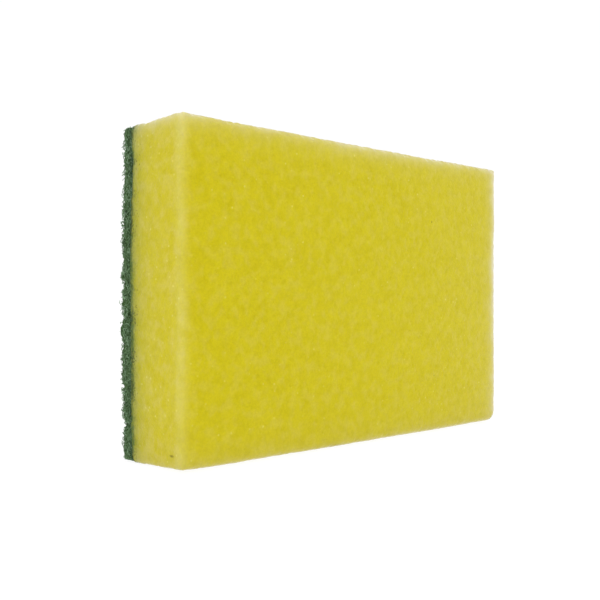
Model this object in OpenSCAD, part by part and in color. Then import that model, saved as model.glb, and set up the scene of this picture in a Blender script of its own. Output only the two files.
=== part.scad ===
// Cleaning sponge: a foam block with a scouring pad bonded to its back.
// It stands on a long edge. X runs along its length, Y from the foam's wiping
// face to the pad's scouring face, and Z up. The origin is at the centre of the
// footprint, on the surface that the sponge stands on.

/* [Sponge] */
// Length from end to end
length = 141; // [60:1:200]
// Height as it stands on a long edge
height = 91; // [40:1:140]
// Radius of the four corners, seen from the front
corner_r = 1.2; // [0.4:0.1:3]
// Radius of the one corner that is cut rounder, low at the right-hand end
round_corner_r = 3.6; // [0.4:0.1:10]

/* [Foam block] */
// Thickness of the foam
foam_t = 23.4; // [8:0.1:50]
// Radius of the soft edge around the wiping face
foam_edge_r = 2.4; // [0.3:0.1:4]

/* [Bond] */
// Thickness of the adhesive film
bond_t = 0.3; // [0.1:0.05:1]
// How far the film stops short of the cut edges
bond_inset = 0.5; // [0.1:0.1:2]

/* [Scouring pad] */
// Thickness of the fibre web
pad_t = 4.3; // [2:0.1:15]
// Radius of the soft edge around the scouring face
pad_edge_r = 0.8; // [0.2:0.1:1.5]

/* [Hidden] */
arc_fn = 64;
// Y of each layer's front face, from the wiping face to the scouring face.
total_t = foam_t + bond_t + pad_t;
foam_y = -total_t / 2;
bond_y = foam_y + foam_t;
pad_y = bond_y + bond_t;
// How far a cutting profile runs past a side that it leaves square.
overrun = 5;

// What is cut away to round one corner of a square outline, at the origin.
module corner_waste(r) {
    difference() {
        translate([-overrun, -overrun]) square(r + overrun);
        translate([r, r]) circle(r, $fn = arc_fn);
        translate([r, -2 * overrun]) square([r, r + 3 * overrun]);
        translate([-2 * overrun, r]) square([r + 3 * overrun, r]);
    }
}

// A rectangle with its lower left corner at the origin and a radius at each
// corner: lower left, lower right, upper right, upper left. 0 is left square.
module rounded_rect(size, radii) {
    difference() {
        square(size);
        for (i = [0:3]) {
            right = i == 1 || i == 2 ? 1 : 0;
            upper = i > 1 ? 1 : 0;
            if (radii[i] > 0)
                translate([right * size[0], upper * size[1]])
                    mirror([right, 0]) mirror([0, upper])
                        corner_waste(radii[i]);
        }
    }
}

// The outline that foam, film and pad are cut to, drawn in X and Z and
// taken in by inset, as a slab from y for thickness t.
module cut_slab(y, t, inset = 0) {
    radii = [for (r = [corner_r, round_corner_r, corner_r, corner_r]) max(r - inset, 0)];
    translate([inset - length / 2, y + t, inset])
        rotate([90, 0, 0])
            linear_extrude(t)
                rounded_rect([length - 2 * inset, height - 2 * inset], radii);
}

// A slab whose face at y has soft edges of radius r. Its face at y + t is
// square where it is bonded.
module soft_faced_slab(y, t, r) {
    intersection() {
        cut_slab(y, t);
        // Soft edges along the top and the bottom, as a section swept in X.
        translate([-length / 2, y, 0])
            rotate([90, 0, 90])
                linear_extrude(length)
                    rounded_rect([t, height], [r, 0, 0, r]);
        // Soft edges up the two ends, as a section swept in Z.
        translate([-length / 2, y, 0])
            linear_extrude(height)
                rounded_rect([length, t], [r, r, 0, 0]);
    }
}

module foam_block() {
    color([0.81, 0.76, 0.16])
        soft_faced_slab(foam_y, foam_t, foam_edge_r);
}

module adhesive_film() {
    color([0.13, 0.20, 0.11])
        cut_slab(bond_y, bond_t, bond_inset);
}

module scouring_pad() {
    color([0.24, 0.37, 0.26])
        mirror([0, 1, 0])
            soft_faced_slab(-(pad_y + pad_t), pad_t, pad_edge_r);
}

foam_block();
adhesive_film();
scouring_pad();
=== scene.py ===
"""A cleaning sponge, built as an add-on that is run as a script.

A block of open-cell foam stands on a long edge. A film of adhesive holds a scouring pad to
its back, and the pad is a web of crimped fibres over a dense core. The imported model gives
the place and the outer size of each, and every length here is in metres.
"""

import math

import bmesh
import bpy
import numpy as np
from bpy.props import FloatProperty, FloatVectorProperty, IntProperty, PointerProperty
from bpy.types import Operator, Panel, PropertyGroup
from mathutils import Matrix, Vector, noise


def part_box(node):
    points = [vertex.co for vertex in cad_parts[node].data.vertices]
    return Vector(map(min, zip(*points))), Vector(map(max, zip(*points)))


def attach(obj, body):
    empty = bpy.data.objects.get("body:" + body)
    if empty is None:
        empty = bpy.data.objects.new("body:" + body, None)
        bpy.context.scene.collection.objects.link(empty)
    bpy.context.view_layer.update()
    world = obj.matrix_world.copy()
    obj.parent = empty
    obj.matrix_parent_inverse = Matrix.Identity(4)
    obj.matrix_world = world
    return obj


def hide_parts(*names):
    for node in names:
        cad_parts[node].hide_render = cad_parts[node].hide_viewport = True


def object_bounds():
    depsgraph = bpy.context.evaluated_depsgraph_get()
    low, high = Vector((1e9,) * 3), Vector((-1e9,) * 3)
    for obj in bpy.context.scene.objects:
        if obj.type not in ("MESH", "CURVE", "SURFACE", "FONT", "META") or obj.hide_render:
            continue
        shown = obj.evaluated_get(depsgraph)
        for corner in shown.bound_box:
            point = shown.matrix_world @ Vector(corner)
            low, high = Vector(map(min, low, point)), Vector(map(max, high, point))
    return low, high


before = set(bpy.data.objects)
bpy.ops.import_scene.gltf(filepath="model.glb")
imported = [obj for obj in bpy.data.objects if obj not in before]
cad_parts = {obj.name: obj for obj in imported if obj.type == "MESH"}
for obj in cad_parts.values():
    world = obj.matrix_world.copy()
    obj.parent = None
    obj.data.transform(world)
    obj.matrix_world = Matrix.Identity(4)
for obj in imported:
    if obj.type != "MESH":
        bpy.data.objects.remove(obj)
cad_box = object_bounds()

bl_info = {
    "name": "Cleaning Sponge",
    "version": (1, 0, 0),
    "blender": (4, 5, 0),
    "location": "View3D > Sidebar > Sponge",
    "description": "Foam block, adhesive film and scouring pad, with a lit stage",
    "category": "Add Mesh",
}

MM = 0.001
BODY = "root"

# How the block is out of square.
TWIST_REACH = 8 * MM  # along the block, from its left-hand end
DENT_PLACE = 0.6  # from the front, as a share of the thickness
DENT_WIDTH = 0.14  # as a share of the thickness
DENT_REACH = 10 * MM  # along the block, from its left-hand end
WAVE_START = 30 * MM  # height below which the bond runs straight up
WAVE_CREST = 55 * MM  # height of the crest at the left-hand end
WAVE_UP = 9 * MM  # how soon the wave turns, going up
WAVE_ALONG = 14 * MM  # how soon the wave turns, along the block
WAVE_REACH = 3.5 * MM  # to either side of the bond

# How the foam is worn, and where a highlight is painted on its left front edge.
EDGE_REACH = 2 * MM  # of the left front edge's wear and painted highlight, to the faces beside it
RIDGE_WIDTH = 1.2 * MM  # of that edge's worn ends
HIGHLIGHT_WIDTH = 2.4 * MM  # of that edge's painted highlight
HIGHLIGHT_PLACE = 1.5 * MM  # how far round onto the left-hand end that colour lies
HIGHLIGHT_SHARE = 0.13  # of that colour over the foam's own
CHIP_REACH = 1.5 * MM  # of the chips, from a cut edge

# How the pad is shaped and worn.
CORE_DEPTH = 0.3 * MM  # of the core, inside the web's outer size
FELT_DEPTH = 0.28 * MM  # of the core's uneven surface
SWELL_TOP = 0.75  # height at which the swell ends, as a share of the pad's
SWELL_BASE = 0.3  # how far the face lies back elsewhere, as a share of the bulge
TOP_WEAR = 1.3 * MM  # depth of the wear along the top edge
TOP_WEAR_FADE = 0.035  # how soon that fades, as a share of the pad's height
BITE_ACROSS = 2.2 * MM  # reach of the bite along the block
BITE_UP = 0.8 * MM  # reach of the bite up and down

# How the fibres on the scouring face are drawn.
FACE_STEPS = 10  # steps along a fibre
FACE_INSET = 0.15 * MM  # from the outline, where a fibre turns back
FACE_LAYERS = (-0.55, 0.05)  # how far the fibres lie off the face, in millimetres
FACE_RISE = 0.2 * MM  # how far a fibre weaves up and down
FACE_LOOSE = 0.3  # share of the fibres with a loose end
FACE_STRAY = 1.4 * MM  # how far a loose end may stand off

# How the fibres round the cut edge are drawn.
EDGE_STEPS = 8  # steps along a fibre
EDGE_RUN = 0.34  # length of a fibre, as a share of one on the face
EDGE_LEAN = 0.85  # how much less they run across the web than along its edge
EDGE_LAYERS = (-0.5, 0.12)  # how far the fibres lie off the edge, in millimetres
EDGE_RISE = 0.14 * MM  # how far a fibre weaves in and out
EDGE_LOOSE = 0.22  # share of the fibres with a loose end
EDGE_STRAY = 0.7 * MM  # how far a loose end may stand off
EDGE_LAPS = 0.24  # share of the fibres that lap over the foam
TOP_TRIM = 0.3 * MM  # how much lower the top is trimmed than the other sides

TUBE_SIDES = 3

# The light and the camera.
KEY_PLACE = (-1.1, -1.1, 1.0)
KEY_SIZE = 1.2
FRAME_WIDTH = 36.0  # in millimetres


def length(name, description, default, low=0.0, high=1.0):
    """A length property in metres."""
    return FloatProperty(
        name=name, description=description, default=default, min=low, max=high,
        unit="LENGTH", precision=5,
    )


def share(name, description, default, low=0.0, high=1.0):
    """A plain number property."""
    return FloatProperty(
        name=name, description=description, default=default, min=low, max=high
    )


def colour(name, description, default):
    """A colour property, as linear red, green and blue."""
    return FloatVectorProperty(
        name=name, description=description, default=default, min=0.0, max=1.0,
        size=3, subtype="COLOR",
    )


class SpongeOutline(PropertyGroup):
    """The outline that the whole sponge is cut to."""

    corner_radius: length("Corners", "Radius of three corners, seen from the front", 1.2 * MM)
    round_corner_radius: length("Round corner", "Radius of the low right-hand corner", 3.6 * MM)
    sag: length("Sag", "How far the top edge dips at mid length", 0.24 * MM)
    slant: length("Slant", "How far the top falls from the foam to the pad", 0.45 * MM)
    lift: length("Lift", "How far the left front corner is twisted up", 0.25 * MM)
    foot: length("Foot", "How far the front stands above the floor, on a back edge", 0.6 * MM)
    tip: length("Tip", "How far both ends of the left front edge are worn back", 0.2 * MM)
    dent: length("Dent", "Depth of the shallow dent in the top at the left-hand end", 0.4 * MM)
    bond_wave: length("Bond wave", "How far the bond waves towards foam and pad", 0.4 * MM)


class SpongeFoam(PropertyGroup):
    """Sizes and colours of the foam block."""

    grain: length("Grain", "Spacing of the surface mesh", 0.505 * MM, 0.3 * MM)
    edge_radius: length("Edge", "Radius of the soft edge round the wiping face", 2.4 * MM)
    cell_size: length("Cells", "Size of the large cells", 1.5 * MM)
    cell_depth: length("Cell depth", "Depth of the cut cells", 0.16 * MM)
    pore_size: length("Pores", "Size of the fine pores", 0.62 * MM)
    wave: length("Waviness", "How unevenly the block was sliced", 0.14 * MM)
    ragged: length("Ragged", "How unevenly the foam ends along the bond", 0.9 * MM)
    chip: length("Chips", "How unevenly the cut edges run", 0.4 * MM)
    pinhole_back: length("Pinhole back", "From the wiping face to the one large pinhole", 5.5 * MM)
    pinhole_height: length("Pinhole height", "Height of that pinhole above the base", 4.1 * MM)
    sheen: share("Sheen", "Paleness of the foam where it turns from view", 1.0)
    # Deep and light yellow: a random tone, darker in the cells and pores by painted shade.
    deep: colour("Deep yellow", "Foam in the cells", (0.568, 0.481, 0.0))
    light: colour("Light yellow", "Foam on the cell walls", (0.613, 0.523, 0.005))
    cream: colour("Cream", "Blobs of denser foam", (0.640, 0.543, 0.066))
    # Pale edge: the colour of the paler cut sides and of the light painted along the cut edges.
    pale: colour("Pale edge", "Foam along the cut edges", (0.79, 0.76, 0.62))
    # Worn edge: a painted highlight along the left front edge, where light falls on its rounding.
    worn: colour("Worn edge", "Foam along the left front edge", (0.95, 0.92, 0.43))
    # Olive: painted shade on the foam beside the bond, where the dark pad takes its light.
    bond_shade: colour("Olive", "Foam beside the bond", (0.015, 0.10, 0.02))
    glint: colour("Glint", "Cut membranes that catch the light", (0.72, 0.66, 0.12))
    # Pinhole: painted shade in pits, pinholes and along the foot.
    painted_shade: colour("Pinhole", "Deep single holes", (0.16, 0.13, 0.01))
    speck: colour("Speck", "Ends of fibres and adhesive near the bond", (0.075, 0.085, 0.012))


class SpongeBond(PropertyGroup):
    """Mesh and colours of the adhesive film."""

    grain: length("Grain", "Spacing of the surface mesh", 1.5 * MM, 0.3 * MM)
    dark: colour("Dark", "Cured adhesive", (0.060, 0.070, 0.012))
    light: colour("Light", "Thin places", (0.240, 0.230, 0.035))


class SpongePad(PropertyGroup):
    """Sizes and colours of the scouring pad."""

    grain: length("Grain", "Spacing of the core's surface mesh", 0.55 * MM, 0.3 * MM)
    edge_radius: length("Edge", "Radius of the soft edge round the scouring face", 0.8 * MM)
    lump_size: length("Lumps", "Size of the lumps in the scouring face", 2.3 * MM)
    lump_height: length("Lump height", "Height of the lumps", 0.8 * MM)
    bulge: length("Bulge", "How much the pad swells at mid height", 0.8 * MM)
    clearance: length("Clearance", "How far the pad's low edge stops above the floor", 0.55 * MM)
    bite_depth: length("Bite", "Depth of the one piece torn out of the edge", 1.0 * MM)
    bite_height: length("Bite height", "Height of that piece above the base", 9.8 * MM)
    fibre_radius: length("Fibre", "Radius of a fibre with its resin", 0.08 * MM)
    fibre_length: length("Fibre length", "Length of a fibre's visible run", 7.0 * MM)
    face_fibres: IntProperty(
        name="Face fibres", description="Fibres on the scouring face, in all", default=6000
    )
    edge_fibres: IntProperty(
        name="Edge fibres", description="Fibres round the cut edge, in all", default=6200
    )
    # Deep green: painted shade on the fibres in the crease by the bond.
    deep: colour("Deep green", "Fibres beside the bond", (0.022, 0.062, 0.004))
    dark: colour("Dark green", "Deep parts of the web", (0.040, 0.086, 0.020))
    middle: colour("Green", "Most of the fibres", (0.112, 0.220, 0.078))
    # Light green: worn and resin-coated fibres, and painted light on the fibres towards the
    # scouring face.
    light: colour("Light green", "Worn and resin-coated fibres", (0.30, 0.46, 0.28))
    seed: IntProperty(name="Seed", description="Seed of the fibres' paths", default=7)


class SpongeStage(PropertyGroup):
    """Camera, floor and light."""

    camera_place: FloatVectorProperty(
        name="Camera", description="Place of the camera", size=3, subtype="TRANSLATION",
        default=(-0.2063, -0.1919, 0.0436),
    )
    camera_turn: FloatProperty(
        name="Turn", description="How far the camera turns from +Y towards +X",
        default=math.radians(44.764), subtype="ANGLE",
    )
    camera_lift: FloatProperty(
        name="Lift", description="How far the camera looks up",
        default=math.radians(0.098), subtype="ANGLE",
    )
    focal_length: FloatProperty(
        name="Focal length", description="Lens, in millimetres on a 36 mm frame",
        default=53.07,
    )
    floor_size: length("Floor", "Width of the floor", 12.0, 1.0, 50.0)
    sky: share("Sky", "Strength of the light from all round", 1.02, 0.0, 10.0)
    floor_glow: share("Floor glow", "Light from the floor, as on a light table", 0.93, 0.0, 5.0)
    key_power: FloatProperty(
        name="Key", description="Power of the large soft key light, in watts", default=3.0
    )


# Meshes


def skin(size, grain):
    """The skin of a box from the origin to size, as points and quads, one quad a grain.

    It is left open at the far end of Y. The third value is the rim there, in order.
    """
    cells = [max(1, round(side / grain)) for side in size]
    i, j, k = np.meshgrid(*(np.arange(n + 1) for n in cells), indexing="ij")
    outside = (i == 0) | (i == cells[0]) | (j == 0) | (k == 0) | (k == cells[2])
    index = np.full(i.shape, -1)
    index[outside] = np.arange(outside.sum())
    steps = np.stack([i[outside], j[outside], k[outside]], axis=1)
    points = steps * (np.array(size) / cells)

    def quads(sheet, turned):
        corners = [sheet[:-1, :-1], sheet[1:, :-1], sheet[1:, 1:], sheet[:-1, 1:]]
        if turned:
            corners.reverse()
        return np.stack([c.ravel() for c in corners], axis=1)

    faces = np.concatenate([
        quads(index[:, 0, :], False),
        quads(index[0], True), quads(index[-1], False),
        quads(index[:, :, 0], True), quads(index[:, :, -1], False),
    ])
    rim = [*index[0, -1, :-1], *index[:-1, -1, -1], *index[-1, -1, :0:-1], *index[:0:-1, -1, 0]]
    return points, faces, rim


class Outline:
    """A rectangle in X and Z with its own radius at each corner."""

    def __init__(self, low, high, settings):
        self.low = np.array([low.x, low.z])
        self.high = np.array([high.x, high.z])
        inset = low.x - cad_box[0].x
        usual = settings.corner_radius - inset
        rounder = settings.round_corner_radius - inset
        # Counter-clockwise from the lower left, seen from the front.
        self.radii = [usual, rounder, usual, usual]
        self.sides = [(-1, -1), (1, -1), (1, 1), (-1, 1)]

    def corners(self):
        """Each corner's radius, its outward diagonal and the centre of its arc."""
        for radius, side in zip(self.radii, self.sides):
            side = np.array(side)
            tip = np.where(side > 0, self.high, self.low)
            yield radius, side, tip - side * radius

    def rounded(self, places):
        """The same places, with the square corners drawn in to their arcs."""
        places = places.copy()
        for radius, side, centre in self.corners():
            local = (places - centre) * side / radius
            inside = (local > 0).all(axis=1)
            near = local[inside]
            pull = near.max(axis=1) / np.linalg.norm(near, axis=1)
            places[inside] = centre + side * radius * near * pull[:, None]
        return places

    def depth(self, places):
        """How far inside the outline each place is, and the way out from there."""
        gaps = np.concatenate([places - self.low, self.high - places], axis=1)
        nearest = gaps.argmin(axis=1)
        depth = gaps.min(axis=1)
        ways = np.array([(-1.0, 0.0), (0.0, -1.0), (1.0, 0.0), (0.0, 1.0)])[nearest]
        for radius, side, centre in self.corners():
            local = (places - centre) * side
            inside = (local > 0).all(axis=1)
            reach = np.linalg.norm(local[inside], axis=1)
            depth[inside] = radius - reach
            ways[inside] = side * local[inside] / reach[:, None]
        return depth, ways

    def round_trip(self):
        """The distance once round the outline."""
        straight = 2 * (self.high - self.low).sum() - 2 * sum(self.radii)
        return straight + math.pi / 2 * sum(self.radii)

    def walk(self, travelled):
        """The place and the way out at each distance travelled round the outline."""
        size = self.high - self.low
        left = np.mod(travelled, self.round_trip())
        places = np.zeros((*left.shape, 2))
        ways = np.zeros((*left.shape, 2))
        for n, (radius, _, centre) in enumerate(self.corners()):
            start = math.pi * (1 + n / 2)
            arc = radius * math.pi / 2
            line = size[n % 2] - radius - self.radii[(n + 1) % 4]
            here = (left >= 0) & (left <= arc + line)
            angle = start + np.minimum(left[here], arc) / radius
            way = np.stack([np.cos(angle), np.sin(angle)], axis=-1)
            end = start + math.pi / 2
            along = np.array([-math.sin(end), math.cos(end)])
            ahead = np.maximum(left[here] - arc, 0)
            places[here] = centre + radius * way + ahead[:, None] * along
            ways[here] = way
            left = np.where(here, -1.0, left - arc - line)
        return places, ways


def slab(outline, size_y, grain, edge_radius):
    """Points and faces of a slab cut to an outline, with a soft edge round the face at Y 0.

    The third value is each point's place on the square box that it came from, and the last
    is the rim of the open face at size_y.
    """
    low, high = outline.low, outline.high
    box_points, faces, rim = skin((high[0] - low[0], size_y, high[1] - low[1]), grain)
    places = outline.rounded(box_points[:, [0, 2]] + low)
    inside, ways = outline.depth(places)
    a = edge_radius - inside
    b = edge_radius - box_points[:, 1]
    soft = (a > 0) & (b > 0)
    pull = edge_radius / np.hypot(a[soft], b[soft])
    y = box_points[:, 1].copy()
    y[soft] = edge_radius - b[soft] * pull
    places[soft] -= (a[soft] * (1 - pull))[:, None] * ways[soft]
    points = np.stack([places[:, 0], y, places[:, 1]], axis=1)
    return points, faces, box_points, rim


def solid(name, points, faces, rim=None):
    """A smooth-shaded mesh object. The rim, if there is one, gets a flat cap with a sharp edge."""
    mesh = bpy.data.meshes.new(name)
    if isinstance(faces, np.ndarray):
        faces = faces.tolist()
    mesh.from_pydata(points.tolist(), [], faces)
    mesh.shade_smooth()
    if rim:
        shape = bmesh.new()
        shape.from_mesh(mesh)
        shape.verts.ensure_lookup_table()
        cap = shape.faces.new([shape.verts[n] for n in rim])
        for edge in cap.edges:
            edge.smooth = False
        bmesh.ops.triangulate(shape, faces=[cap])
        bmesh.ops.recalc_face_normals(shape, faces=shape.faces)
        shape.to_mesh(mesh)
        shape.free()
    piece = bpy.data.objects.new(name, mesh)
    bpy.context.scene.collection.objects.link(piece)
    return piece


def points_of(piece):
    """The places of a piece's points."""
    found = np.empty(len(piece.data.vertices) * 3)
    piece.data.vertices.foreach_get("co", found)
    return found.reshape(-1, 3)


def normals_of(piece):
    """The normals at a piece's points."""
    found = np.empty(len(piece.data.vertices) * 3)
    piece.data.vertex_normals.foreach_get("vector", found)
    return found.reshape(-1, 3)


def move_points(piece, places):
    """Moves a piece's points to new places."""
    piece.data.vertices.foreach_set("co", places.ravel())
    piece.data.update()


def press(piece, depths):
    """Moves each point in along its normal."""
    move_points(piece, points_of(piece) - depths[:, None] * normals_of(piece))


def lift_to_floor(piece, clearance=0.0):
    """Presses what would hang below the floor flat against it."""
    places = points_of(piece)
    places[:, 2] = np.maximum(places[:, 2], clearance)
    move_points(piece, places)


def record_values(piece, name, values):
    """Keeps one number a point on the piece, for its material to read."""
    attribute = piece.data.attributes.new(name, "FLOAT", "POINT")
    attribute.data.foreach_set("value", np.asarray(values, np.float32))


def two_noises(place, size, finer, share_of_finer):
    """Noise of one size, with a share of a finer one."""
    return noise.noise(place / size) + share_of_finer * noise.noise(place / finer)


def out_of_square(points, settings):
    """Moves places as the block's sag, slant, twist, dent, uneven foot and wavy bond do."""
    low, high = cad_box
    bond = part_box("adhesive_film")[0].y
    x, y, z = points[..., 0], points[..., 1], points[..., 2]
    from_left = x - low.x
    middle = 1 - (x / high.x) ** 2
    back = (y - low.y) / (high.y - low.y)
    up = z / high.z
    fall = (settings.sag * middle + settings.slant * back) * up
    twist = settings.lift * np.exp(-from_left / TWIST_REACH) * (1 - back)
    foot = settings.foot * (1 - back * (1 - up))
    hollow = np.exp(-((back - DENT_PLACE) / DENT_WIDTH) ** 2 - from_left / DENT_REACH)
    dent = settings.dent * up ** 4 * hollow
    above = np.maximum(z, WAVE_START) - WAVE_CREST
    wave = np.cos(above / WAVE_UP + from_left / WAVE_ALONG)
    points[..., 1] += settings.bond_wave * wave * np.exp(-((y - bond) / WAVE_REACH) ** 2)
    points[..., 2] += twist + foot - fall - dent


def settle(piece, node, recipe):
    """Gives a closed piece its material, and says what it rides on and stands for."""
    sides = np.empty(len(piece.data.loops), np.int32)
    piece.data.loops.foreach_get("edge_index", sides)
    if (np.bincount(sides, minlength=len(piece.data.edges)) != 2).any():
        raise RuntimeError(f"{piece.name} isn't a closed mesh")
    piece.data.materials.append(recipe)
    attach(piece, BODY)
    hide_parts(node)


# The foam


def cut_cells(point, cell_size):
    """How deep a slice through open cells is at a point: 0 on a wall, 1 in a cell's middle."""
    gaps, centres = noise.voronoi(point / cell_size)
    # Each cell draws its own reach, from its centre spread out over the noise.
    reach = 0.34 + 0.3 * noise.cell(centres[0] * 7.3)
    return max(0.0, 1 - (gaps[0] / reach) ** 2)


def foam_relief(points, at_edge, foam):
    """How deep the cut foam lies at each point, how far into a cell, and how frayed it is."""
    depths = np.empty(len(points))
    cells = np.empty(len(points))
    frayed = np.empty(len(points))
    for n, point in enumerate(points):
        place = Vector(point)
        cells[n] = cut_cells(place, foam.cell_size)
        slicing = two_noises(place, 22 * MM, 7 * MM, 0.5)
        rough = noise.noise(place / (0.8 * MM))
        chips = two_noises(place, 2.4 * MM, 1.1 * MM, 0.7)
        depths[n] = (
            foam.cell_depth * (0.8 * cells[n] + 0.35 * rough - 0.25)
            + foam.wave * slicing + foam.chip * chips * at_edge[n]
        )
        frayed[n] = foam.ragged * noise.noise(place / (1.4 * MM))
    return depths, cells, frayed


def painted_edge_light(gaps):
    """How pale the foam is painted at each point: painted light that rises towards the cut edges,
    where light shines through the thin foam.

    The gaps are to the left, right, front, underside and top of the block.
    """
    # Strength and fade of a narrow band and of a wide one, for each side, and how far in
    # from the side both start.
    narrow = np.array([0.03, 0.40, 0.0, 0.14, 0.33])
    narrow_fade = np.array([0.8, 1.3, 1.0, 0.8, 1.1]) * MM
    wide = np.array([0.0, 0.09, 0.0, 0.07, 0.26])
    wide_fade = np.array([1.0, 4.0, 1.0, 2.6, 2.3]) * MM
    start = np.array([0.0, 2.4, 0.0, 0.0, 0.0]) * MM
    beyond = np.maximum(gaps - start, 0)
    bands = narrow * np.exp(-beyond / narrow_fade) + wide * np.exp(-beyond / wide_fade)
    bands *= np.exp(-(np.maximum(start - gaps, 0) / (1.6 * MM)) ** 2)
    # A band shows only on the faces beside its side.
    for side in range(gaps.shape[1]):
        others = np.delete(gaps, side, axis=1).min(axis=1)
        bands[:, side] *= np.exp(-(others / (1.4 * MM)) ** 2)
    # A faint painted sheen over the wiping face, stronger towards the right-hand end.
    painted_sheen = 0.03 * np.exp(-gaps[:, 1] / (28 * MM))
    return 1 - (1 - painted_sheen) * np.prod(1 - bands, axis=1)


def build_foam(context):
    """The foam block: a sliced slab with cut cells all over and softened edges."""
    scene = context.scene
    foam = scene.sponge_foam
    low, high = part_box("foam_block")
    size = high - low
    outline = Outline(low, high, scene.sponge_outline)
    points, faces, _, rim = slab(outline, size.y, foam.grain, foam.edge_radius)
    x, depth, z = points[:, 0].copy(), points[:, 1].copy(), points[:, 2].copy()
    gaps = np.stack([x - low.x, high.x - x, depth, z - low.z, high.z - z], axis=1)
    near_bond = size.y - depth
    points[:, 1] += low.y
    # Round the left front edge: the gap to the nearer of its two faces, and how far a point
    # is past the edge, onto the wiping face.
    nearer = np.minimum(gaps[:, 0], gaps[:, 2])
    past_edge = gaps[:, 0] - gaps[:, 2]
    ridge = np.exp(-(past_edge / RIDGE_WIDTH) ** 2 - (nearer / EDGE_REACH) ** 2)
    points[:, 2] -= scene.sponge_outline.tip * ridge * (2 * z / size.z - 1)
    out_of_square(points, scene.sponge_outline)
    # A cut edge is where the second-nearest side is near too, and is worse higher up.
    second = np.sort(gaps, axis=1)[:, 1]
    at_edge = np.exp(-second / CHIP_REACH) * (0.3 + 0.7 * z / size.z)
    depths, cells, frayed = foam_relief(points, at_edge, foam)
    points[:, 1] += frayed * np.exp(-near_bond / (0.6 * MM))
    block = solid("foam", points, faces, rim)
    cut_side = 1 - normals_of(block)[:, 1] ** 2
    press(block, depths * np.clip(near_bond / (1.5 * MM), 0.25, 1))
    lift_to_floor(block)
    # A painted highlight along the left front edge, where light falls on its rounding.
    worn = (past_edge + HIGHLIGHT_PLACE) / HIGHLIGHT_WIDTH
    worn = HIGHLIGHT_SHARE * np.exp(-worn ** 2 - (nearer / EDGE_REACH) ** 2)
    # Painted shade along the foot, darkest at the floor.
    foot_shade = np.exp(-gaps[:, 3] / (6 * MM)) + 0.55 * np.exp(-gaps[:, 3] / (1.2 * MM))
    # Painted light along the cut edges, for the material to read.
    record_values(block, "edge_light", painted_edge_light(gaps))
    record_values(block, "edge_highlight", worn)
    record_values(block, "cut_side", cut_side)
    record_values(block, "foot_shade", foot_shade)
    record_values(block, "cell", cells)
    record_values(block, "bond_gap", near_bond / MM)
    return block


# The adhesive film


def build_film(context):
    """The thin film of adhesive, which stops short of the cut edges."""
    scene = context.scene
    low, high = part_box("adhesive_film")
    outline = Outline(low, high, scene.sponge_outline)
    thick = high.y - low.y
    points, faces, _, rim = slab(outline, thick, scene.sponge_bond.grain, 0.1 * thick)
    points[:, 1] += low.y
    out_of_square(points, scene.sponge_outline)
    return solid("adhesive", points, faces, rim)


# The scouring pad


def pad_level(x, z, pad, low, high):
    """How far the scouring face stands above or below its packed place."""
    lumps = two_noises(Vector((x, 0, z)), pad.lump_size, 0.4 * pad.lump_size, 0.6)
    up = (z - low.z) / (high.z - low.z)
    swell = math.sin(math.pi * min(max(up / SWELL_TOP, 0.0), 1.0)) - SWELL_BASE
    worn = TOP_WEAR * math.exp((up - 1) / TOP_WEAR_FADE)
    level = pad.lump_height * lumps + pad.bulge * swell - worn
    return level - pad.bite_depth * bite(x, z, pad, low)


def bite(x, z, pad, low):
    """The one bite out of the pad, low on the left-hand end: 1 at its middle, 0 outside."""
    across = (x - low.x) / BITE_ACROSS
    up = (z - low.z - pad.bite_height) / BITE_UP
    return math.exp(-(across ** 2 + up ** 2) / 2)


def build_core(context):
    """The dense inside of the web, which shows dark between the fibres."""
    scene = context.scene
    pad = scene.sponge_pad
    low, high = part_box("scouring_pad")
    size = high - low
    outline = Outline(low, high, scene.sponge_outline)
    points, faces, box_points, rim = slab(outline, size.y, pad.grain, pad.edge_radius)
    points[:, 1] = high.y - points[:, 1]
    out_of_square(points, scene.sponge_outline)
    core = solid("scouring_pad_core", points, faces[:, ::-1], rim)
    depths = np.empty(len(points))
    on_face = box_points[:, 1] < 1e-9
    for n, point in enumerate(points):
        place = Vector(point)
        felt = two_noises(place, 0.9 * MM, 0.45 * MM, 0.6)
        depths[n] = CORE_DEPTH + FELT_DEPTH * felt
        if on_face[n]:
            depths[n] -= pad_level(point[0], point[2], pad, low, high)
        else:
            depths[n] -= 0.5 * pad.lump_height * noise.noise(place / pad.lump_size)
            depths[n] += 0.8 * pad.bite_depth * bite(point[0], point[2], pad, low)
    near_bond = size.y - box_points[:, 1]
    depths *= np.clip(near_bond / (0.8 * MM), 0.2, 1)
    press(core, depths)
    lift_to_floor(core, pad.clearance)
    return core


def folded(values, low, high):
    """Values that turn back at low and high, as a fibre does at the edge of the web."""
    span = high - low
    along = np.mod(values - low, 2 * span)
    return low + np.where(along > span, 2 * span - along, along)


def crimped_paths(rng, count, steps, run, spread_a, spread_b, lean=1.0):
    """Plane paths of crimped fibres, and their height, each as (count, steps + 1).

    spread_a and spread_b are the lows and highs that the fibres start between. A lean
    below 1 makes them lie more along the first direction.
    """
    stride = run * rng.uniform(0.5, 1.3, (count, 1)) / steps
    turn = rng.normal(0, 0.22, (count, steps)).cumsum(axis=1)
    crimp_rate = rng.uniform(0.7, 1.4, (count, 1))
    phase = rng.uniform(0, 2 * math.pi, (count, 1))
    k = np.arange(steps)
    crimp = 0.9 * np.sin(phase + crimp_rate * k)
    heading = rng.uniform(0, 2 * math.pi, (count, 1)) + turn + crimp
    start_a = rng.uniform(*spread_a, (count, 1))
    start_b = rng.uniform(*spread_b, (count, 1))
    a = np.hstack([start_a, start_a + (np.cos(heading) * stride).cumsum(axis=1)])
    b = np.hstack([start_b, start_b + (lean * np.sin(heading) * stride).cumsum(axis=1)])
    k = np.arange(steps + 1)
    rise = np.sin(rng.uniform(0, 2 * math.pi, (count, 1)) + rng.uniform(0.5, 1.1, (count, 1)) * k)
    return a, b, rise


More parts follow.
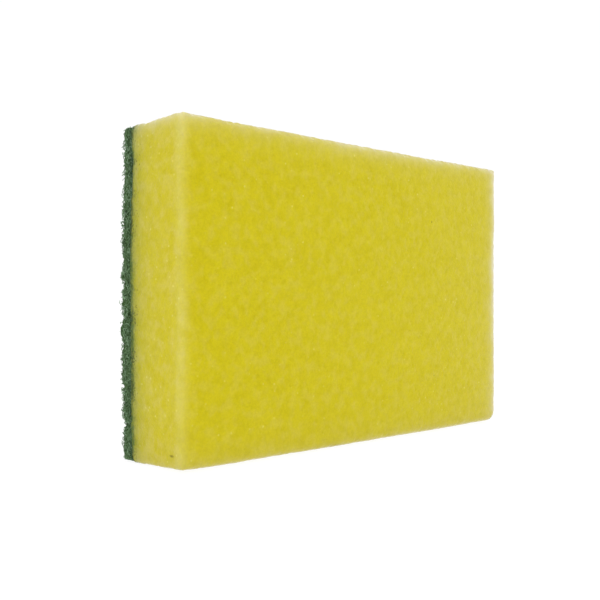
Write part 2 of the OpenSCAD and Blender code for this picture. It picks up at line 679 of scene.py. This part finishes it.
def tubes(paths, radii, reference):
    """Points and faces of closed tubes along paths of (count, rings, 3)."""
    count, rings, _ = paths.shape
    along = np.gradient(paths, axis=1)
    along /= np.linalg.norm(along, axis=2, keepdims=True)
    across = np.cross(along, reference[:, None, :])
    across /= np.linalg.norm(across, axis=2, keepdims=True) + 1e-12
    up = np.cross(across, along)
    angles = np.arange(TUBE_SIDES) * 2 * math.pi / TUBE_SIDES
    round_it = (
        np.cos(angles)[None, None, :, None] * across[:, :, None, :]
        + np.sin(angles)[None, None, :, None] * up[:, :, None, :]
    )
    points = paths[:, :, None, :] + radii[:, :, None, None] * round_it
    index = np.arange(count * rings * TUBE_SIDES).reshape(count, rings, TUBE_SIDES)
    here, ahead = index[:, :-1], index[:, 1:]
    walls = np.stack([
        here, np.roll(here, -1, axis=2), np.roll(ahead, -1, axis=2), ahead,
    ], axis=-1).reshape(-1, 4)
    starts = index[:, 0, ::-1]
    ends = index[:, -1]
    return points.reshape(-1, 3), walls.tolist() + starts.tolist() + ends.tolist()


def fibre_piece(name, rng, paths, radius, reference):
    """One piece made of many fibres, thinner towards their ends."""
    count, rings, _ = paths.shape
    taper = np.clip(2.6 * np.sin(np.linspace(0.22, math.pi - 0.22, rings)), 0, 1)
    radii = radius * rng.uniform(0.7, 1.35, (count, 1)) * taper
    points, faces = tubes(paths, radii, reference)
    piece = solid(name, points, faces)
    record_values(piece, "fibre_tone", np.repeat(rng.uniform(0, 1, count), rings * TUBE_SIDES))
    return piece


def some(rng, count, chance):
    """A strength for each fibre: 0.2 to 1 for those that win their chance, and 0 otherwise."""
    return (rng.uniform(0, 1, (count, 1)) < chance) * rng.uniform(0.2, 1.0, (count, 1))


def pad_levels(places, pad, low, high):
    """The scouring face's level at each place."""
    return np.array([pad_level(x, z, pad, low, high) for x, z in places])


def build_face_fibres(context, part, parts):
    """A share of the fibres that lie tangled over the scouring face."""
    scene = context.scene
    pad = scene.sponge_pad
    rng = np.random.default_rng(pad.seed + part)
    low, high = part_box("scouring_pad")
    outline = Outline(low, high, scene.sponge_outline)
    count, steps = pad.face_fibres // parts, FACE_STEPS
    x, z, rise = crimped_paths(
        rng, count, steps, pad.fibre_length, (low.x, high.x), (low.z, high.z)
    )
    x = folded(x, low.x + FACE_INSET, high.x - FACE_INSET)
    z = folded(z, low.z + FACE_INSET, high.z - FACE_INSET)
    places = outline.rounded(np.stack([x.ravel(), z.ravel()], axis=1))
    level = pad_levels(places, pad, low, high).reshape(x.shape)
    layer = rng.uniform(*FACE_LAYERS, (count, 1)) * MM
    loose = some(rng, count, FACE_LOOSE)
    tip = (np.linspace(0, 1, steps + 1) ** 2)[None, :]
    y = high.y + level + layer + FACE_RISE * rise + FACE_STRAY * loose * tip
    paths = np.stack([places[:, 0].reshape(x.shape), y, places[:, 1].reshape(x.shape)], axis=2)
    out_of_square(paths, scene.sponge_outline)
    reference = np.tile([0.05, 1.0, 0.03], (count, 1))
    name = f"scouring_face_fibres_{part + 1}"
    piece = fibre_piece(name, rng, paths, 1.25 * pad.fibre_radius, reference)
    lift_to_floor(piece, pad.clearance)
    return piece


def build_edge_fibres(context, part, parts):
    """A share of the short fibres that show where the web was cut, all round its edge."""
    scene = context.scene
    pad = scene.sponge_pad
    rng = np.random.default_rng(pad.seed + 100 + part)
    low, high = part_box("scouring_pad")
    outline = Outline(low, high, scene.sponge_outline)
    count, steps = pad.edge_fibres // parts, EDGE_STEPS
    thick = high.y - low.y
    a, b, rise = crimped_paths(
        rng, count, steps, EDGE_RUN * pad.fibre_length, (0, outline.round_trip()), (0, thick),
        EDGE_LEAN,
    )
    places, ways = outline.walk(a)
    spots = places.reshape(-1, 2)
    level = pad_levels(spots, pad, low, high).reshape(a.shape)
    torn = np.array([bite(x, z, pad, low) for x, z in spots]).reshape(a.shape)
    lumps = [noise.noise(Vector((x, 8 * MM, z)) / pad.lump_size) for x, z in spots]
    lumps = np.array(lumps).reshape(a.shape)
    # Some lap over the foam, and the rest turn back where the pad begins and ends.
    lap = some(rng, count, EDGE_LAPS) * MM
    lap = lap * np.clip(0.15 + 3.0 * lumps, 0.0, 1.5)
    across = folded(b / thick, 0.0, 1.0)
    y = low.y - lap + across * (thick + lap + level + 0.1 * MM)
    layer = rng.uniform(*EDGE_LAYERS, (count, 1)) * MM + 0.2 * lap
    loose = some(rng, count, EDGE_LOOSE)
    tip = (np.linspace(0, 1, steps + 1) ** 3)[None, :]
    out = layer + EDGE_RISE * rise + EDGE_STRAY * loose * tip
    out += 0.55 * pad.lump_height * lumps - 0.8 * pad.bite_depth * torn
    out -= TOP_TRIM * (ways[..., 1] > 0.5)
    places = places + out[..., None] * ways
    paths = np.stack([places[..., 0], y, places[..., 1]], axis=2)
    out_of_square(paths, scene.sponge_outline)
    middle = ways[:, steps // 2]
    reference = np.stack([middle[:, 0], np.full(count, 0.12), middle[:, 1]], axis=1)
    name = f"scouring_edge_fibres_{part + 1}"
    piece = fibre_piece(name, rng, paths, 1.12 * pad.fibre_radius, reference)
    lift_to_floor(piece, pad.clearance)
    return piece


# Materials


class Recipe:
    """A material's node tree, with short calls to add and join its nodes."""

    def __init__(self, name):
        self.material = bpy.data.materials.new(name)
        self.material.use_nodes = True
        self.tree = self.material.node_tree
        self.tree.nodes.clear()
        self.shader = self.tree.nodes.new("ShaderNodeBsdfPrincipled")
        output = self.tree.nodes.new("ShaderNodeOutputMaterial")
        self.tree.links.new(self.shader.outputs["BSDF"], output.inputs["Surface"])

    def fill(self, node, sockets):
        """Joins or sets each named or numbered socket of a node."""
        for key, value in sockets.items():
            socket = node.inputs[key]
            if isinstance(value, bpy.types.NodeSocket):
                self.tree.links.new(value, socket)
            elif hasattr(value, "__len__") and len(value) == 3 and socket.type == "RGBA":
                socket.default_value = (*value, 1.0)
            else:
                socket.default_value = value

    def node(self, kind, sockets, **settings):
        """A new node with its settings made and its sockets filled."""
        node = self.tree.nodes.new(kind)
        for key, value in settings.items():
            setattr(node, key, value)
        self.fill(node, sockets)
        return node

    def finish(self, **values):
        """Sets the shader's sockets by their names, with _ for a space."""
        self.fill(self.shader, {key.replace("_", " "): value for key, value in values.items()})
        return self.material

    def place(self):
        """The point's place on the object."""
        return self.node("ShaderNodeTexCoord", {}).outputs["Object"]

    def value(self, name):
        """A number that the piece keeps for each point."""
        return self.node("ShaderNodeAttribute", {}, attribute_name=name).outputs["Fac"]

    def noise(self, size, detail=2.0, roughness=0.5):
        """Soft noise from 0 to 1 whose patches are about that size."""
        sockets = {
            "Vector": self.place(), "Scale": 1 / size, "Detail": detail, "Roughness": roughness,
        }
        return self.node("ShaderNodeTexNoise", sockets).outputs["Fac"]

    def patches(self, size, low, high, out_low, out_high, detail=1.0):
        """Patches of about that size, where the noise from low to high is eased to the outs."""
        return self.ramp(self.noise(size, detail), low, high, out_low, out_high)

    def cells(self, size):
        """The distance from the middle of the nearest cell, for cells of about that size."""
        sockets = {"Vector": self.place(), "Scale": 1 / size}
        return self.node("ShaderNodeTexVoronoi", sockets).outputs["Distance"]

    def web(self, size):
        """Thin crooked lines that cross about that far apart, like fibres: 1 on a line."""
        sockets = {"Vector": self.place(), "Scale": 1.3 / size, "Detail": 2.0}
        bend = self.node("ShaderNodeTexNoise", sockets).outputs["Color"]
        bend = self.vector("MULTIPLY", bend, (1.4 * size, 1.4 * size, 1.4 * size))
        sockets = {"Vector": self.vector("ADD", self.place(), bend), "Scale": 1 / size}
        lines = self.node("ShaderNodeTexVoronoi", sockets, feature="DISTANCE_TO_EDGE")
        return self.ramp(lines.outputs["Distance"], 0.02, 0.11, 1.0, 0.0)

    def dots(self, spacing, chance, radius, strength):
        """Soft round dots, about one in each cell of that spacing that wins its chance."""
        sockets = {"Vector": self.place(), "Scale": 1 / spacing}
        cells = self.node("ShaderNodeTexVoronoi", sockets)
        draw = self.node("ShaderNodeSeparateColor", {"Color": cells.outputs["Color"]}).outputs[0]
        chosen = self.ramp(draw, 1 - chance, 1.0, 0.0, strength)
        spot = self.ramp(cells.outputs["Distance"], radius, 0.3 * radius)
        return self.maths("MULTIPLY", chosen, spot)

    def fade(self, distance, reach):
        """A share that falls from 1 with distance, to about a third at reach."""
        return self.maths("EXPONENT", self.maths("MULTIPLY", distance, -1 / reach))

    def maths(self, operation, a, b=0.0, c=0.0):
        """One step of arithmetic."""
        return self.node("ShaderNodeMath", {0: a, 1: b, 2: c}, operation=operation).outputs[0]

    def vector(self, operation, a, b=(0.0, 0.0, 0.0), output="Vector"):
        """One step of arithmetic on places."""
        return self.node("ShaderNodeVectorMath", {0: a, 1: b}, operation=operation).outputs[output]

    def ramp(self, value, low, high, out_low=0.0, out_high=1.0):
        """A value eased from one range to another."""
        sockets = {"Value": value, 1: low, 2: high, 3: out_low, 4: out_high}
        return self.node(
            "ShaderNodeMapRange", sockets, interpolation_type="SMOOTHSTEP"
        ).outputs["Result"]

    def mix(self, amount, first, second):
        """The first colour with the second over it, by an amount from 0 to 1."""
        return self.node(
            "ShaderNodeMix", {"Factor": amount, 6: first, 7: second}, data_type="RGBA"
        ).outputs[2]

    def bump(self, height, depth, strength=1.0, under=None):
        """A bumped normal, over an earlier one if there is one."""
        sockets = {"Height": height, "Distance": depth, "Strength": strength}
        if under:
            sockets["Normal"] = under
        return self.node("ShaderNodeBump", sockets).outputs["Normal"]


def foam_skin(recipe, foam, pores):
    """The foam's mottled yellow: a random tone with painted shade in the cells, denser blobs,
    glints, and painted shade in pits and pinholes.
    """
    # A random tone, darker towards the cells' middles by painted shade.
    tone = recipe.maths("MULTIPLY_ADD", recipe.value("cell"), -0.22, recipe.noise(2.6 * MM))
    tone = recipe.maths("MULTIPLY_ADD", pores, 0.12, tone)
    skin = recipe.mix(recipe.ramp(tone, 0.22, 0.78), foam.deep, foam.light)
    blobs = recipe.patches(2.9 * MM, 0.42, 0.72, 0.0, 0.38)
    more = recipe.maths("MULTIPLY_ADD", recipe.value("cut_side"), 0.6, 1.0)
    skin = recipe.mix(recipe.maths("MULTIPLY", blobs, more), skin, foam.cream)
    glints = recipe.dots(2.2 * MM, 0.5, 0.2, 0.6)
    more = recipe.patches(24 * MM, 0.35, 0.65, 0.45, 1.3)
    skin = recipe.mix(recipe.maths("MULTIPLY", glints, more), skin, foam.glint)
    # Painted shade in small pits.
    pits = recipe.ramp(recipe.noise(0.55 * MM, 2.0, 0.6), 0.35, 0.65, 0.0, 0.09)
    skin = recipe.mix(pits, skin, foam.painted_shade)
    # Painted shade in scattered pinholes.
    return recipe.mix(recipe.dots(11 * MM, 0.35, 0.05, 0.9), skin, foam.painted_shade)


def uneven_gap(recipe):
    """Millimetres to the bond, made uneven so that what fades from it has a ragged end."""
    gap = recipe.maths("MULTIPLY_ADD", recipe.noise(1.4 * MM, 3.0, 0.7), 2.8, -2.55)
    gap = recipe.maths("MULTIPLY_ADD", recipe.noise(7 * MM, 1.0), 2.5, gap)
    return recipe.maths("MAXIMUM", recipe.maths("ADD", gap, recipe.value("bond_gap")), 0.0)


def foam_edges(recipe, foam, skin, near):
    """The foam's colour with its cut sides paler, most near the bond, and with painted light along
    the cut edges and a painted highlight on the left front edge.
    """
    side = recipe.maths("MULTIPLY_ADD", near, 0.06, 0.018)
    side = recipe.maths("MULTIPLY", side, recipe.value("cut_side"))
    side = recipe.maths("MULTIPLY", side, recipe.patches(3.5 * MM, 0.35, 0.65, 0.5, 1.5))
    skin = recipe.mix(side, skin, foam.pale)
    # Painted light along the cut edges and a painted highlight on the left front edge, in streaks.
    streaks = recipe.patches(9 * MM, 0.3, 0.7, 0.7, 1.3, detail=2.0)
    for name, tint in (("edge_light", foam.pale), ("edge_highlight", foam.worn)):
        skin = recipe.mix(recipe.maths("MULTIPLY", recipe.value(name), streaks), skin, tint)
    return skin


def foam_bond_shade(recipe, foam, skin, gap, near):
    """The foam's colour with painted shade beside the bond, where the dark pad takes its light,
    and specks of fibre and adhesive there.
    """
    # Painted shade, deepest at the bond and fading over a few millimetres.
    shade = recipe.maths("MULTIPLY", recipe.fade(gap, 1.1), 0.35)
    shade = recipe.maths("MULTIPLY_ADD", near, 0.49, shade)
    skin = recipe.mix(shade, skin, foam.bond_shade)
    close = recipe.fade(gap, 1.8)
    speck = recipe.maths("MULTIPLY_ADD", close, 0.34, recipe.noise(0.55 * MM, 1.0))
    most = recipe.ramp(close, 0.0, 0.2, 0.0, 0.6)
    most = recipe.maths("MULTIPLY", most, recipe.patches(4 * MM, 0.4, 0.65, 0.25, 1.3))
    return recipe.mix(recipe.ramp(speck, 0.72, 0.82, 0.0, most), skin, foam.speck)


def large_pinhole(recipe, foam):
    """How dark the painted shade of the one large pinhole is at each place, low on the left-hand
    end.
    """
    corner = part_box("foam_block")[0]
    middle = corner + Vector((0, foam.pinhole_back, foam.pinhole_height))
    off = recipe.vector("SUBTRACT", recipe.place(), middle)
    off = recipe.vector("MULTIPLY", off, (1.0, 0.5, 1.3))
    off = recipe.vector("LENGTH", off, output="Value")
    return recipe.ramp(off, 0.15 * MM, 0.65 * MM, 0.7, 0.0)


def foam_recipe(foam):
    """Yellow open-cell foam, with painted light along its cut edges and painted shade beside the
    bond, in its cells and along its foot.
    """
    recipe = Recipe("yellow_foam")
    pores = recipe.cells(foam.pore_size)
    gap = uneven_gap(recipe)
    near = recipe.fade(gap, 4.6)
    skin = foam_skin(recipe, foam, pores)
    skin = foam_edges(recipe, foam, skin, near)
    skin = foam_bond_shade(recipe, foam, skin, gap, near)
    # Painted shade along the foot and in the one large pinhole.
    foot_shade = recipe.maths("MULTIPLY", recipe.value("foot_shade"), 0.12)
    skin = recipe.mix(foot_shade, skin, foam.painted_shade)
    skin = recipe.mix(large_pinhole(recipe, foam), skin, foam.painted_shade)
    relief = recipe.bump(pores, 0.18 * MM, 0.4)
    relief = recipe.bump(recipe.noise(0.4 * MM), 0.1 * MM, 0.35, relief)
    return recipe.finish(
        Base_Color=skin, Roughness=0.85, Specular_IOR_Level=0.14, Normal=relief,
        Subsurface_Weight=0.4, Subsurface_Radius=(1.0, 0.75, 0.25), Subsurface_Scale=1.0 * MM,
        Sheen_Weight=foam.sheen, Sheen_Roughness=0.3,
    )


def bond_recipe(bond):
    """Cured adhesive, dark and dull with thin places."""
    recipe = Recipe("dark_adhesive")
    patches = recipe.noise(1.2 * MM, 3.0)
    return recipe.finish(
        Base_Color=recipe.mix(recipe.ramp(patches, 0.3, 0.7), bond.dark, bond.light),
        Roughness=0.7, Normal=recipe.bump(patches, 0.1 * MM, 0.6),
    )


def core_recipe(pad):
    """The deep part of the web: dark felt with paler lines of fibre across it."""
    recipe = Recipe("green_web_core")
    felt = recipe.noise(0.7 * MM, 4.0, 0.65)
    green = recipe.mix(recipe.ramp(felt, 0.5, 0.8), pad.dark, pad.middle)
    fine = recipe.maths("MULTIPLY", recipe.web(0.9 * MM), 0.6)
    lines = recipe.maths("MAXIMUM", recipe.web(1.7 * MM), fine)
    green = recipe.mix(recipe.maths("MULTIPLY", lines, 0.27), green, pad.light)
    height = recipe.maths("MULTIPLY_ADD", lines, 0.6, felt)
    return recipe.finish(
        Base_Color=green, Roughness=0.9, Specular_IOR_Level=0.2,
        Normal=recipe.bump(height, 0.3 * MM, 0.8),
    )


def fibre_recipe(pad):
    """Green fibres, each of its own tone, with pale resin in places, painted shade by the bond and
    painted light towards the scouring face.
    """
    recipe = Recipe("green_fibres")
    tone = recipe.value("fibre_tone")
    green = recipe.mix(recipe.ramp(tone, 0.0, 0.55), pad.dark, pad.middle)
    light = recipe.maths("MULTIPLY", recipe.ramp(tone, 0.55, 1.0), 0.95)
    green = recipe.mix(light, green, pad.light)
    resin = recipe.ramp(recipe.noise(1.1 * MM, 3.0, 0.6), 0.5, 0.75)
    green = recipe.mix(recipe.maths("MULTIPLY", resin, 0.7), green, pad.light)
    across = recipe.node("ShaderNodeSeparateXYZ", {"Vector": recipe.place()}).outputs["Y"]
    face = cad_box[1].y
    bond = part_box("scouring_pad")[0].y
    # Painted shade on the fibres in the crease beside the foam.
    green = recipe.mix(recipe.ramp(across, bond, bond + 1.8 * MM, 0.35, 0.0), green, pad.deep)
    # Painted light on the fibres towards the scouring face.
    green = recipe.mix(recipe.ramp(across, face - 3.5 * MM, face, 0.0, 0.22), green, pad.light)
    return recipe.finish(
        Base_Color=green, Roughness=0.55, Specular_IOR_Level=0.35,
        Normal=recipe.bump(recipe.noise(0.2 * MM), 0.05 * MM, 0.6),
    )


def paper_recipe(stage):
    """The plain pale floor."""
    recipe = Recipe("pale_floor")
    return recipe.finish(
        Base_Color=(0.12, 0.12, 0.12), Roughness=1.0, Specular_IOR_Level=0.0,
        Emission_Color=(1.0, 1.0, 1.0), Emission_Strength=stage.floor_glow,
    )


# Operators


class SPONGE_OT_foam_block(Operator):
    """Make the foam block"""

    bl_idname = "sponge.foam_block"
    bl_label = "Foam Block"
    bl_options = {"REGISTER", "UNDO"}

    def execute(self, context):
        block = build_foam(context)
        settle(block, "foam_block", foam_recipe(context.scene.sponge_foam))
        return {"FINISHED"}


class SPONGE_OT_adhesive_film(Operator):
    """Make the adhesive film between foam and pad"""

    bl_idname = "sponge.adhesive_film"
    bl_label = "Adhesive Film"
    bl_options = {"REGISTER", "UNDO"}

    def execute(self, context):
        film = build_film(context)
        settle(film, "adhesive_film", bond_recipe(context.scene.sponge_bond))
        return {"FINISHED"}


class SPONGE_OT_scouring_pad(Operator):
    """Make the scouring pad: its core, and the fibres over it and round its edge"""

    bl_idname = "sponge.scouring_pad"
    bl_label = "Scouring Pad"
    bl_options = {"REGISTER", "UNDO"}

    def execute(self, context):
        pad = context.scene.sponge_pad
        core = build_core(context)
        settle(core, "scouring_pad", core_recipe(pad))
        fibres = fibre_recipe(pad)
        for part in range(2):
            for build in (build_face_fibres, build_edge_fibres):
                piece = build(context, part, 2)
                settle(piece, "scouring_pad", fibres)
        return {"FINISHED"}


class SPONGE_OT_stage(Operator):
    """Make the camera, the pale floor and the soft light"""

    bl_idname = "sponge.stage"
    bl_label = "Stage"
    bl_options = {"REGISTER", "UNDO"}

    def execute(self, context):
        scene = context.scene
        stage = scene.sponge_stage
        half = stage.floor_size / 2
        corners = half * np.array([(-1, -1, 0), (1, -1, 0), (1, 1, 0), (-1, 1, 0)])
        floor = solid("floor", corners, [(0, 1, 2, 3)])
        floor.data.materials.append(paper_recipe(stage))

        world = bpy.data.worlds.new("studio")
        world.use_nodes = True
        sky = world.node_tree.nodes["Background"]
        sky.inputs["Color"].default_value = (1, 1, 1, 1)
        sky.inputs["Strength"].default_value = stage.sky
        scene.world = world

        key = bpy.data.lights.new("key", "AREA")
        key.energy = stage.key_power
        key.size = KEY_SIZE
        lamp = bpy.data.objects.new("key", key)
        lamp.location = KEY_PLACE
        lamp.rotation_euler = (-lamp.location).to_track_quat("-Z", "Y").to_euler()
        scene.collection.objects.link(lamp)

        lens = bpy.data.cameras.new("camera")
        lens.lens = stage.focal_length
        lens.sensor_width = FRAME_WIDTH
        lens.clip_start = 0.01
        camera = bpy.data.objects.new("camera", lens)
        camera.location = stage.camera_place
        camera.rotation_euler = (math.pi / 2 + stage.camera_lift, 0, -stage.camera_turn)
        scene.collection.objects.link(camera)
        scene.camera = camera
        scene.view_settings.view_transform = "Standard"
        return {"FINISHED"}


class SPONGE_PT_sidebar(Panel):
    """Sponge tools in the 3D view's sidebar"""

    bl_label = "Cleaning Sponge"
    bl_idname = "SPONGE_PT_sidebar"
    bl_space_type = "VIEW_3D"
    bl_region_type = "UI"
    bl_category = "Sponge"

    def draw(self, context):
        scene = context.scene
        for heading, settings, operator in SECTIONS:
            box = self.layout.box()
            box.label(text=heading)
            group = getattr(scene, settings)
            for name in group.__annotations__:
                box.prop(group, name)
            if operator:
                box.operator(operator.bl_idname)


GROUPS = {
    "sponge_outline": SpongeOutline,
    "sponge_foam": SpongeFoam,
    "sponge_bond": SpongeBond,
    "sponge_pad": SpongePad,
    "sponge_stage": SpongeStage,
}
SECTIONS = [
    ("Outline", "sponge_outline", None),
    ("Foam block", "sponge_foam", SPONGE_OT_foam_block),
    ("Adhesive film", "sponge_bond", SPONGE_OT_adhesive_film),
    ("Scouring pad", "sponge_pad", SPONGE_OT_scouring_pad),
    ("Stage", "sponge_stage", SPONGE_OT_stage),
]
OPERATORS = [operator for _, _, operator in SECTIONS if operator]
CLASSES = [*GROUPS.values(), *OPERATORS, SPONGE_PT_sidebar]


def register():
    """Registers the classes and puts their settings on the scene."""
    for cls in CLASSES:
        bpy.utils.register_class(cls)
    for name, group in GROUPS.items():
        setattr(bpy.types.Scene, name, PointerProperty(type=group))


def unregister():
    """Takes everything away again."""
    for name in GROUPS:
        delattr(bpy.types.Scene, name)
    for cls in reversed(CLASSES):
        bpy.utils.unregister_class(cls)


def main():
    """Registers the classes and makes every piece."""
    register()
    bpy.ops.sponge.foam_block()
    bpy.ops.sponge.adhesive_film()
    bpy.ops.sponge.scouring_pad()
    bpy.ops.sponge.stage()


if __name__ == "__main__":
    main()
